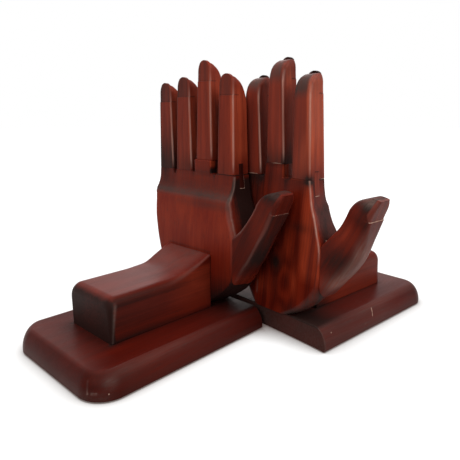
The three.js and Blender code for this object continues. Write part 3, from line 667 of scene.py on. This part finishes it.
for side in SIDES:
    points, faces = palm_skin(side)
    extra, more, _ = stub_skin()
    faces = faces + [group + len(points) for group in more]
    points = np.concatenate([points, extra])
    depth, across, up, edge = points.T
    rear_depth, face_thumb, _, rear_thumb, _ = palm_edges(side, np.clip(up, PALM_ROWS[0, 0], ROOT))
    thumb_line = face_thumb + (rear_thumb - face_thumb) * np.clip(depth / rear_depth, 0, 1)
    flank = ramp(across - thumb_line, 2.2, 0.6) * (up < ROOT - 0.3)
    # Darker at the finger roots, and painted shade in the crotches between them.
    root = bell(up, ROOT, 8.5)
    fork = sum(near(points, (9, place, ROOT), (14, 2.2, 5)) for place in CROTCH_PLACES)
    stub_edge = STUB_MIDDLE - STUB_WIDTH / 2
    stub_side = (up > ROOT - 0.5) * ramp(across, stub_edge + 1.0, stub_edge + 0.4)
    if side == "left":
        grain = across + 140, depth + 260, up
        twist = 0 * up
        shown = ramp(depth, 12, 15) * ramp(up, 134.5, 138)
        behind = ramp(depth - rear_depth, -3, -1)
        # On the back: darker over the bevel above the crease and just below it, painted shade in the
        # and the lower thumb side.
        # crease, a painted shade line just above the forearm's top, and painted shade towards the heel
        cove = ramp(up, 108.5, 112.5) * np.clip((136 - up) / 16, 0.4, 1) * behind
        crease = bell(up, 113.5, 3.5) * behind
        below = bell(up, 106.5, 3.5) * behind * ramp(across, 40, -10)
        ledge = bell(up, 67.2, 1.1) * (np.abs(across - ARM_MIDDLES[side]) < 27) * (depth > 25)
        corner = ramp(across, -14, -34) * ramp(up, 76, 46)
        stain = np.maximum(0.45 * root, 0.62 * cove) + 0.3 * crease + 0.45 * below + 0.5 * ledge
        stain += ramp(up, 50, 24) + 0.4 * corner
        # Painted shade on the thumb-side flank, which faces the other hand, deepest towards the book face.
        stain += flank * (0.42 + 0.95 * ramp(depth, 23, 15)) * ramp(up, 131, 125)
        # Painted light across the middle of the back.
        bright = 0.18 * behind * bell(up, 92, 15)
        # Painted highlights along the thumb-side back edge and its bevel, and a painted grey sheen at the
        # crease and over the back.
        edge_band = bell(rear_depth - depth, 0.8 * palm_bevel(side, up), np.interp(up, (110, 118), (0.9, 0.6)))
        rub = (0.13 * edge + 0.5 * edge_band * flank) * (depth > 12) * (across < -28) * (up < ROOT - 1)
        rub = rub * ramp(up, 56, 76) + 0.075 * crease + 0.02 * cove + 0.04 * below
        rub += 0.025 * behind * ramp(up, 70, 85)
        chip = 0 * up
    else:
        grain = across + 22 + 0.10 * (up - 70), depth + 16, up + 200
        twist = blots(points, PALM_TWISTS)
        shown = ramp(depth, 9, 6)
        front = depth < 3
        mount = front * ramp(across, -31, -38)
        # Darker at the finger roots, on the upper face towards the outer side, at the stub's seam, along
        # the heel's edges and on the flank back from the face.
        stain = 0.45 * root + 0.7 * front * ramp(up, 96, 106) * ramp(across, 4, 10)
        stain += 0.6 * front * bell(up, STUB_TOP, 3) + 0.6 * edge * ramp(up, 52, 44)
        stain += 0.8 * flank * ramp(depth, 3, 7) * ramp(up, 124, 108)
        # Lighter on the face along the thumb side.
        bright = 1.5 * mount * ramp(up, 50, 66)
        # Painted highlight along the face's thumb-side edge and a painted grey sheen on the heel's edges
        # and the thumb side of the face; a real scratch and a chip.
        rub = 0.95 * edge ** 4 * (depth < 4) * (across < -30) * ramp(up, 68, 80)
        rub += 0.13 * edge * ramp(up, 52, 42) * (across < 5) + 0.02 * mount * ramp(up, 50, 60)
        rub += 0.35 * scratch(points, (0, 12.4, 41), (0, 13.2, 30), 0.8)
        chip = 0.8 * near(points, (10, -50.9, 86.2), (1.4, 2, 1.2))
    # On the stub's thumb side, painted light where it shows and painted shade deeper in the gap.
    stain += blots(points, PALM_STAIN_AND_SHADE_BLOTS[side]) + 0.8 * fork + 0.9 * stub_side * (1 - shown)
    bright += blots(points, PALM_PALE_AND_LIT_BLOTS[side]) + stub_side * shown
    palm_wood = stained_wood(f"{side}_palm_wood", PALM_LIGHT[side], PALM_DARK[side], *PALM_FIGURES[side])
    add_piece(side, "carved_palm", "palm", "wood", points, faces, palm_wood,
              grain=grain, stain=stain, rub=rub, chip=chip, twist=twist, bright=bright)


# Thumb dowels. Two thin beech dowels cross the glued joint between each thumb and its palm, inside the wood,
# and keep the thumb from sliding while the glue sets. They never show.
thumb_dowel_wood = plain_wood("thumb_dowel_wood", DOWEL_LIGHT, DOWEL_DARK, (700, 25, 700))
finish_nodes("thumb_dowel", ("lower", "upper"), thumb_dowel_wood)


# Thumbs. Each thumb is carved from its own block and glued to the side of the palm. It sweeps up and out,
# flattens on its outer side into a nail behind a small step, and ends in a blunt, rounded tip.
# inner edge across and up, outer edge across and up, front, back
THUMB_ROWS = np.array([
    (-52, 85, -52, 44.5, 1.5, 30), (-57.3, 91.6, -66, 58.5, 3, 30.3), (-63.2, 99.8, -76.7, 73.8, 5.4, 29.4),
    (-67.9, 108.3, -83.3, 91.9, 5.4, 27.9), (-72, 115.8, -88.2, 107, 4.4, 28),
    (-77.2, 121.2, -92.2, 116.5, 5.8, 26.6), (-86, 124.3, -94.4, 122.2, 9.5, 23)])
THUMB_ROUNDS = np.array([
    (2.5, 11, 8, 3), (3.5, 13, 8.5, 3), (4, 13, 8, 3), (4, 9, 5, 3), (4, 5, 3.5, 3), (4, 3.5, 3, 3),
    (3, 2.5, 2.5, 3)])
THUMB_PLACES = np.arange(7.0)
THUMB_RIDGE = 4.2
THUMB_BEVELS = hands((4.0, 6.0, 7.0, 3.0, 0.5, 0.0, 0.0), (0.0,) * 7)
THUMB_SEAMS = hands((-52.2, -49.2), (-52.2, -52.2))
THUMB_HANGS = hands(4.2, 3.2)
THUMB_CUTICLE, CUTICLE_STEP = 4, 0.06
NAIL_SUNK = 0.7
THUMB_LIGHT = (0.195, 0.017, 0.007, 1)
THUMB_DARK = (0.080, 0.006, 0.003, 1)
# A spot at the right thumb's lower end that is painted lit, with a painted sheen.
THUMB_NOSE = ((10, -62, 54), (14, 9, 7))
THUMB_STAINS = ((0.95, (4, -66, 76), (10, 13, 11)), (0.4, (3, -57, 66), (8, 7, 12)))

thumb_wood = stained_wood(
    "thumb_wood", THUMB_LIGHT, THUMB_DARK, ring=0.008, figure=0.35, streaks=0.5, rough=0.34, gloss=0.07)
fine_steps = THUMB_CUTICLE + CUTICLE_STEP * np.array([-1, -0.5, 0, 0.5])
step = np.unique(np.r_[np.linspace(0, 6, 140), fine_steps])
rows = through(THUMB_PLACES, THUMB_ROWS, step)
inner, front, back = rows[:, 0:2], rows[:, 4], rows[:, 5]
sunk = NAIL_SUNK * ramp(step, THUMB_CUTICLE - CUTICLE_STEP, THUMB_CUTICLE)
for side in SIDES:
    outer = rows[:, 2:4] - THUMB_HANGS[side] * ramp(step, 0.75, 0)[:, None] * (0, 1)
    width = np.linalg.norm(outer - inner, axis=1)
    bevel = through(THUMB_PLACES, np.array(THUMB_BEVELS[side])[:, None], step)[:, 0]
    corners = outline((front, 0.0), (front, width - sunk), (back, width - sunk - bevel), (back, 0.0))
    radii = through(THUMB_PLACES, THUMB_ROUNDS, step)
    if side == "left":
        radii[:, 2] = np.minimum(radii[:, 2], THUMB_RIDGE)
    radii = np.minimum(radii, 0.46 * np.minimum(width, back - front)[:, None])
    rings = rounded(corners, radii, (30, 24, 30, 24), 12)
    lean = (bevel / (back - front))[:, None] * (rings[..., 0] - front[:, None])
    margin = 1.2 + 2.0 * ramp(step, THUMB_CUTICLE, THUMB_CUTICLE + 0.4)
    nail_side = np.clip((rings[..., 1] - (width - sunk - margin)[:, None] + lean) / 0.8, 0, 1)
    share = rings[..., 1] / width[:, None]
    path = inner[:, None] + (outer - inner)[:, None] * share[..., None]
    seam = np.interp(rings[..., 0], (0, WRIST), THUMB_SEAMS[side]) - THUMB_ROWS[0, 0]
    path[..., 0] += seam * ramp(step, 1, 0)[:, None]
    channels = rings[..., 0], path[..., 0], path[..., 1], rings[..., 2], step[:, None], nail_side, share
    points, faces, _ = loft(np.stack(np.broadcast_arrays(*channels), -1), 8)
    depth, across, up, edge, place, nail, share = points.T
    grain = across + 0.55 * up + 60, depth + 45, up - 0.3 * across + 70 * (side == "right")
    skin = 1 - nail
    cut = bell(place, 3.975, 0.024) * nail
    stain = 0.75 * ramp(place, 4.2, 5.1) * skin
    if side == "left":
        # Left thumb: darker overall and on its outer side below the cuticle, with painted light on the
        # lower end and on the back near the cuticle; a painted highlight along the ridge and a faint
        # painted grey sheen all over; chips at the cuticle and on the side.
        ridge = edge * ramp(depth, 20, 24) * ramp(place, 4.6, 3.6) * ramp(place, 0, 1) * skin
        stain += 0.35 + 0.55 * nail * ramp(place, 0.6, 1.4) * (place < THUMB_CUTICLE)
        stain += 0.3 * bell(place, 1.4, 0.8) - 0.9 * bell(up, 46, 6.5)
        bright = 0.25 * bell(place, 3.2, 0.7) * (depth > 22) + 0.6 * bell(up, 46, 5.5)
        rub = 0.025 + 0.24 * ridge + 0.06 * ramp(place, 5, 5.6) * skin
        chip = 0.45 * cut + 0.9 * near(points, (7.9, -70.2, 70.8), (1.8, 1.2, 1.2))
    else:
        # Right thumb: a painted grey sheen along the rounding of the belly and on the nail, painted light
        # and sheen on the lower end and a painted highlight near the tip; dark blotches and a darker cap
        # beside the nail; the nail plate and a patch paler; a chip at the cuticle.
        plate = nail * (place > THUMB_CUTICLE)
        nose = near(points, *THUMB_NOSE)
        lead = depth - np.interp(place, THUMB_PLACES, THUMB_ROWS[:, 4])
        outwards = np.maximum(np.sqrt(edge) * (lead < 14), nail) * (share > 0.4)
        belly = outwards * ramp(lead, 0.6, 4.6)
        belly = belly * np.interp(place, (0.2, 1.0, 2.3, 3.1, 3.7), (0.2, 1, 1, 0.5, 0.1))
        cap = ramp(place, 3.2, 3.7) * ramp(share, 0.25, 0.55) * skin
        stain += blots(points, THUMB_STAINS) + 0.1 * nail + 0.6 * cap
        bright = 0.3 * plate + 0.5 * near(points, (4, -69, 97), (8, 8, 10)) + 0.9 * nose
        rub = 0.03 + 0.48 * belly + 0.15 * plate * np.sqrt(edge) + 0.25 * nose
        rub += 0.34 * near(points, (8, -88, 121), (6, 6, 4)) * skin
        chip = 0.72 * cut
    add_piece(side, "carved_thumb", "thumb", "wood", points, faces, thumb_wood,
              grain=grain, stain=stain, rub=rub, chip=chip, bright=bright)


# Tongues. A loose tongue is let into each finger and its root in the palm. The index finger's is glued into
# an open slot and trimmed flush, so that it shows on the hand's thumb side; the other three are inside.
TONGUE_DEPTHS = hands((7.2, 12.2), (5.6, 11.0))
TONGUE_SPANS = hands((120.8, 141.0), (119.6, 138.6))
TONGUE_INNER_EDGE = -31.0
TONGUE_LAP = (12.0, 9.0)
TONGUE_PROUD, TONGUE_SHY, TONGUE_ROUND = 0.06, 0.25, 0.12
TIP_LENGTH = 10.5
# The left hand's tongue takes much darker tones, painted shade of the flank between the hands
# where it shows.
INLAY_LIGHT = hands((0.055, 0.008, 0.005, 1), (0.230, 0.030, 0.013, 1))
INLAY_DARK = hands((0.022, 0.004, 0.003, 1), (0.130, 0.014, 0.007, 1))


def finger_sides(values, level):
    """Middle and half width of a finger's straight part at each height, and how far up it that is."""
    root, tip, root_width, tip_width, top, _ = values
    rise = (np.minimum(level, top - TIP_LENGTH) - ROOT) / (top - TIP_LENGTH - ROOT)
    return root + (tip - root) * rise, (root_width + (tip_width - root_width) * rise) / 2, rise


for side in SIDES:
    inlay_wood = stained_wood(f"{side}_inlay_wood", INLAY_LIGHT[side], INLAY_DARK[side], 0.004, 0.4, 0.7)
    depths = np.array(TONGUE_DEPTHS[side])
    for finger, values in FINGERS[side].items():
        seam = values[5]
        low, high = seam - TONGUE_LAP[0], seam + TONGUE_LAP[1]
        if finger == "index":
            low, high = TONGUE_SPANS[side]
        level = np.linspace(low, high, 60)
        middle, half, _ = finger_sides(values, np.maximum(level, seam))
        inner = middle + half - TONGUE_SHY
        outer = (middle - half + TONGUE_SHY)[:, None] + 0 * depths
        if finger == "index":
            back, face_thumb, _, rear_thumb, _ = palm_edges(side, np.minimum(level, ROOT))
            palm_side = face_thumb[:, None] + (rear_thumb - face_thumb)[:, None] * depths / back[:, None]
            outer = np.where(level[:, None] < ROOT, palm_side, (middle - half)[:, None]) - TONGUE_PROUD
            inner = TONGUE_INNER_EDGE + 0 * level
        face, rear = depths
        corners = outline((face, outer[:, 0]), (face, inner), (rear, inner), (rear, outer[:, 1]))
        rings = rounded(corners, np.full(corners.shape[:2], TONGUE_ROUND), (6, 12, 6, 12), 4)
        points, faces, _ = loft(lifted(rings, level), 6)
        depth, across, up, edge = points.T
        grain = across + 30, depth + 50, up
        stain = 0.8 * bell(up, high, 1) + 0.4 * edge
        chip = 0.62 * bell(up, low, 0.7)
        if side == "left":
            chip += 0.55 * (depth < depths[0] + 0.4) * (up < ROOT)
        add_piece(side, f"{finger}_inlay", f"{finger}_tongue", "tongue_wood", points, faces, inlay_wood,
                  grain=grain, stain=stain, chip=chip)


# Fingers. Four straight fingers stand fixed on each palm, sawn to a slight taper. The pad of each is rounded
# back towards the tip, the tip is rounded across, and a nail is cut on the back behind a fine step.
FINGER_THICK, TIP_THICK = 18.8, 16.4
FINGER_EDGES = hands(1.8, 2.1)
TIP_POWER = 2.4
PAD_LENGTH = 24.0
PAD_POWERS = hands(1.9, 2.7)
NAIL_LENGTH, NAIL_THICK, NAIL_OVERHANG, NAIL_DEEP, NAIL_STEP = 16.3, 3.0, 2.2, 0.4, 0.3
FINGER_LIGHT = (0.285, 0.035, 0.015, 1)
FINGER_DARK = (0.135, 0.014, 0.007, 1)
ROOT_BURNS = hands(
    ((0.25, 9), (0.2, 8), (0.6, 15), (0.85, 30)), ((0.35, 7), (0.75, 11), (0.4, 7), (0.5, 7)))
FINGER_LIT = hands((0.65, 0.3, 0.3, 0.3), (1.0, 0.0, 0.0, 0.0))
LEFT_STAINS = (0, 0, 0.1, 0.2)
NAIL_STAINS = (0.35, 0.35, 0.5, 0.5)
TIP_STAIN_RUNS = (21, 21, 15, 15)
RIGHT_FINGER_CHIPS = {
    "index": (0.9, (16, -39.5, 132.2), (4, 3, 0.5)), "middle": (0.75, (0, -7, 142.5), (2, 7, 0.45)),
    "ring": (0.7, (0, 20, 132.6), (2, 8, 0.45))}


def finger_skin(values, pad_power, ease):
    """Rings at rising heights. Width and thickness taper evenly, the tip's width falls off as a superellipse,
    the pad recedes as another until only the nail is left, and the nail's back lies a step lower."""
    top, seam = values[4:]
    start, nail_start, pad_start = top - TIP_LENGTH, top - NAIL_LENGTH, top - PAD_LENGTH
    level = np.unique(np.r_[
        seam + 0.02 + 0.5 * (1 - np.cos(np.linspace(0, np.pi / 2, 4))),
        np.linspace(seam + 0.6, pad_start, 64),
        pad_start + (PAD_LENGTH - NAIL_OVERHANG) * np.sin(np.linspace(0, np.pi / 2, 40)),
        start + TIP_LENGTH * np.sin(np.linspace(0, np.pi / 2 * 0.985, 26)),
        nail_start + np.array([-NAIL_STEP, -NAIL_STEP / 2, 0, 0.1])].round(5))
    over_tip = ramp(level, start, top)
    over_pad = ramp(level, pad_start, top - NAIL_OVERHANG)
    shy = 0.35 * ramp(level, seam + 0.5, seam) ** 2
    middle, half, rise = finger_sides(values, level)
    half = half * (1 - over_tip ** TIP_POWER) ** (1 / TIP_POWER) - shy
    sunk = NAIL_DEEP * ramp(level, nail_start - NAIL_STEP, nail_start)
    back = FINGER_THICK + (TIP_THICK - FINGER_THICK) * rise - sunk - shy
    front = (1 - (1 - over_pad ** pad_power) ** (1 / pad_power)) * (TIP_THICK - NAIL_DEEP - NAIL_THICK) + shy
    low, high = middle - half, middle + half
    corners = outline((front, low), (front, high), (back, high), (back, low))
    most = 0.46 * np.minimum(2 * half, back - front)
    pad = np.minimum(ease + 2.4 * over_pad ** 2, most)
    heel = np.minimum(ease, most)
    return lifted(rounded(corners, np.stack([pad, pad, heel, heel], 1), (20, 18, 20, 18)), level)


finger_wood = stained_wood("finger_wood", FINGER_LIGHT, FINGER_DARK, ring=0.0075, figure=0.32)
for side in SIDES:
    for number, (finger, values) in enumerate(FINGERS[side].items()):
        root, _, root_width, _, top, seam = values
        points, faces, _ = loft(finger_skin(values, PAD_POWERS[side], FINGER_EDGES[side]), 5)
        depth, across, up, edge = points.T
        shift = 37 * number + 150 * (side == "right")
        grain = across + 45 + 23 * number, depth + 38 - 11 * number, up + shift
        burn, reach = ROOT_BURNS[side][number]
        nail_start = top - NAIL_LENGTH
        thumb_side = ramp(across - root + root_width / 2 - 0.06 * (up - ROOT), 3, 1.5)
        fine = ramp(up, seam + 1, seam + 9)
        stain = burn * bell(up, seam, reach) + 0.6 * bell(up, nail_start, 0.35) * (depth > 10)
        # Darker along the side away from the thumb.
        stain += 0.25 * (1 - thumb_side) * (np.abs(across - root) > root_width / 2 - 3)
        # Painted light on the thumb-side faces.
        bright = FINGER_LIT[side][number] * thumb_side
        chip = 0 * up
        if side == "left":
            back = ramp(depth, 12, 15) * (1 - 0.7 * thumb_side)
            nail = ramp(up, nail_start, nail_start + 0.6) * back
            # Painted shade deeper in the gaps between the fingers; darker ring and little fingers and nails.
            gap = thumb_side * ramp(depth, 13, 7) * ramp(up, 198, 178) * (number > 0)
            stain += LEFT_STAINS[number] + NAIL_STAINS[number] * nail + 1.1 * gap
            bright = bright * ramp(up, seam + 6, seam + 20) * ramp(up, top - 6, top - 20)
            # Painted highlight along the thumb-side back edge; the nails a touch paler.
            rub = 0.9 * edge ** 2 * thumb_side * fine * ramp(up, top - 4, top - 22) * (depth > 9)
            rub += 0.04 * nail
        else:
            dark_from = top - TIP_STAIN_RUNS[number]
            tip_rise = ramp(up, dark_from, dark_from + 8)
            pad = ramp(depth, 12, 8) * (1 - 0.8 * thumb_side)
            # Painted shade on the thumb sides of the inner fingers, in the gaps beside them; darker tips and
            # pads; a dark rim at the nail's end.
            stain += 0.28 * (number > 0) * thumb_side + tip_rise * (0.15 + 0.75 * pad)
            stain += ramp(up, top - 2.6, top - 1.8) * (depth > 10)
            bright = bright * ramp(up, seam + 6, seam + 32) * ramp(up, top - 3, top - 8)
            # Painted highlight along the pad's thumb-side edge and a painted grey sheen on the pads.
            rub = edge ** 4 * thumb_side * (depth < 11) * fine * ramp(up, top - 9, top - 18)
            rub += (0.05 + 0.10 * tip_rise) * pad * (up < top - 2.6)
            if finger == "index":
                # A dark blot at the index's seam; painted light on its side and a painted highlight high on
                # it.
                stain += 0.8 * near(points, (0, -39, 133), (5, 5, 2.6))
                bright += 0.5 * near(points, (0, -35, 152), (4, 6, 14))
                rub += 0.09 * thumb_side * ramp(up, 155, 175)
            if finger == "middle":
                # A paler patch high on the middle finger.
                bright += 0.8 * near(points, (8, -13, 209), (5, 5, 8))
            if finger in RIGHT_FINGER_CHIPS:
                chip = blots(points, [RIGHT_FINGER_CHIPS[finger]])
        add_piece(side, f"{finger}_tapered", f"{finger}_finger", "wood", points, faces, finger_wood,
                  grain=grain, stain=stain, rub=rub, chip=chip, bright=bright)


# Floor, light and camera. A white sweep with only a soft contact shadow, broad soft light from above and from
# the camera's right, and the camera at the photograph's place.
CAMERA_PLACE = (-0.293503, -0.253562, 0.179734)
CAMERA_YAW, CAMERA_PITCH = 0.771, 0.24
CAMERA_LENS = 36.96
WHITE = (1, 1, 1, 1)
CONTACT = (0.13, 0.095, 0.085, 1)
LAMP_AIM = np.array([0, 0, 0.1])
LAMPS = {
    "key": ((0.25, -0.85, 0.95), 0.9, 9.0), "overhead": ((-0.30, 0.15, 1.25), 1.2, 9.0),
    "front": ((-1.1, -0.35, 0.75), 0.8, 4.5), "window": ((0.75, 0.80, 0.85), 0.8, 3.8)}


def hits_view(tree):
    """1 for rays that show the background: straight to the camera, mirrored or through glass."""
    camera, glossy, glass = (
        wire(tree, "LightPath", (), f"Is {kind} Ray") for kind in ("Camera", "Glossy", "Transmission"))
    return calc(tree, "MAXIMUM", calc(tree, "MAXIMUM", camera, glossy), glass)


paper, tree, surface = shaded("white_paper")
tree.nodes.remove(surface)
place = wire(tree, "TexCoord", (), "Object")
away = wire(tree, "VectorMath", {0: place}, "Value", operation="LENGTH")
open_sky = wire(tree, "AmbientOcclusion", {"Distance": 0.028}, "AO", samples=16)
shade = blend(tree, spread(tree, open_sky, 0.36, 0.92), CONTACT, WHITE)
strength = spread(tree, away, 0.22, 0.6, 0.82, 1.0)
glow = wire(tree, "Emission", {"Color": shade, "Strength": strength})
white = wire(tree, "BsdfDiffuse", {"Color": (0.30, 0.295, 0.29, 1)})
shown = wire(tree, "AddShader", {0: glow, 1: white})
plain = wire(tree, "BsdfDiffuse", {"Color": (0.22, 0.20, 0.19, 1)})
both = wire(tree, "MixShader", {0: hits_view(tree), 1: plain, 2: shown})
tree.links.new(both, tree.nodes["Material Output"].inputs["Surface"])
sheet = bpy.data.meshes.new("paper_floor")
sheet.from_pydata([(-6, -6, 0), (6, -6, 0), (6, 6, 0), (-6, 6, 0)], [], [(0, 1, 2, 3)])
sheet.materials.append(paper)
floor = put("paper_floor", sheet)

world = bpy.data.worlds.new("studio")
world.use_nodes = True
bpy.context.scene.world = world
tree = world.node_tree
tree.nodes.remove(tree.nodes["Background"])
soft = wire(tree, "Background", {"Color": WHITE, "Strength": 0.22})
plain = wire(tree, "Background", {"Color": WHITE, "Strength": 1.0})
both = wire(tree, "MixShader", {0: hits_view(tree), 1: soft, 2: plain})
tree.links.new(both, tree.nodes["World Output"].inputs["Surface"])


def aim(thing, place, forward):
    """Puts a lamp or camera at a place, looking forwards with its top up."""
    forward = np.array(forward, float) / np.linalg.norm(forward)
    right = np.cross(forward, (0, 0, 1))
    right /= np.linalg.norm(right)
    turned = np.eye(4)
    turned[:3] = np.stack([right, np.cross(right, forward), -forward, place], 1)
    thing.matrix_world = Matrix(turned.tolist())


for name, (place, size, power) in LAMPS.items():
    lamp = bpy.data.lights.new(f"{name}_lamp", "AREA")
    lamp.shape, lamp.size, lamp.energy = "DISK", size, power
    aim(put(f"{name}_lamp", lamp), place, LAMP_AIM - place)

camera = bpy.data.cameras.new("photo_camera")
camera.lens, camera.sensor_width = CAMERA_LENS, 36.0
camera.clip_start = 0.01
viewer = put("photo_camera", camera)
level = np.cos(CAMERA_PITCH)
aim(viewer, CAMERA_PLACE, (np.cos(CAMERA_YAW) * level, np.sin(CAMERA_YAW) * level, -np.sin(CAMERA_PITCH)))
bpy.context.scene.camera = viewer
bpy.context.scene.view_settings.view_transform = "Standard"
